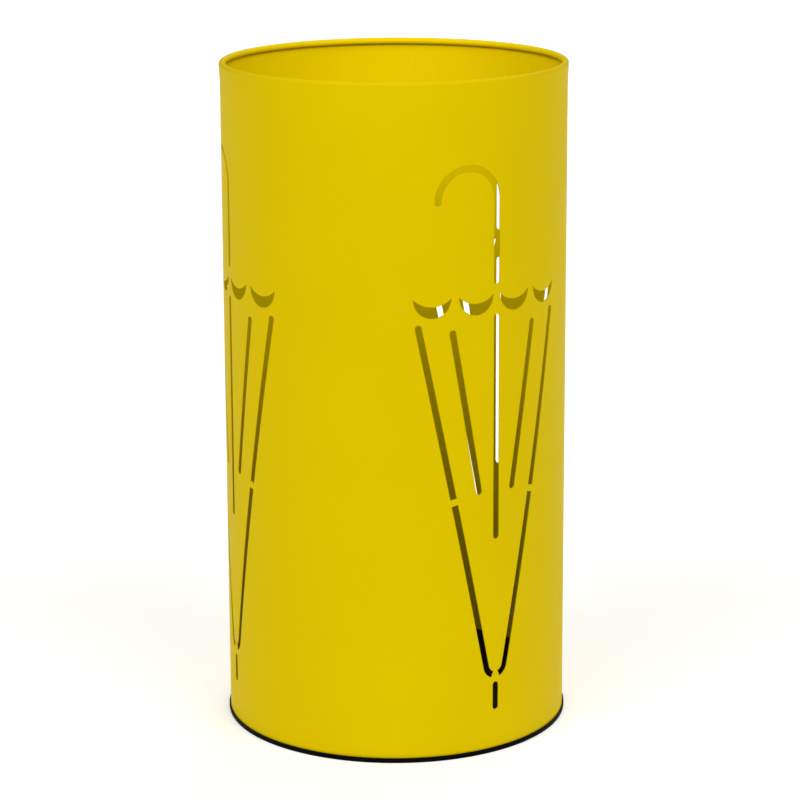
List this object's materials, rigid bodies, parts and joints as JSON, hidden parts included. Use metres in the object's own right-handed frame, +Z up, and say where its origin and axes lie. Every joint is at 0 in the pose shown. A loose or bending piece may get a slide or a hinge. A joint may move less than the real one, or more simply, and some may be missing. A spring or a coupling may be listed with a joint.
{
  "type": "umbrella stand",
  "caption": "Round umbrella stand: an open-topped perforated steel tube with closed-umbrella cut-outs, a curled rim, a foot ring and a lift-out drip tray.",
  "frame": {"origin": "On the floor, on the tube's axis, at the middle of the foot ring's underside.", "axes": "+Z up along the tube; -Y is the side with the middle umbrella cut-out; the welded seam is at +Y."},
  "size_m": [0.2574, 0.2574, 0.498],
  "materials": {
    "shell_coat": "satin yellow powder coat on steel sheet",
    "plate_coat": "satin yellow powder coat on steel sheet",
    "ring_plastic": "black extruded plastic, satin",
    "tray_plastic": "black moulded plastic, fine texture"
  },
  "bodies": {
    "stand": {"body_shell": "shell_coat", "base_plate": "plate_coat", "base_ring": "ring_plastic"},
    "tray": {"drip_tray": "tray_plastic"}
  },
  "joints": [
    {"name": "tray_lift", "type": "slide", "parent": "stand", "child": "tray", "axis": [0, 0, 1], "range_m": [0, 0.5]}
  ]
}
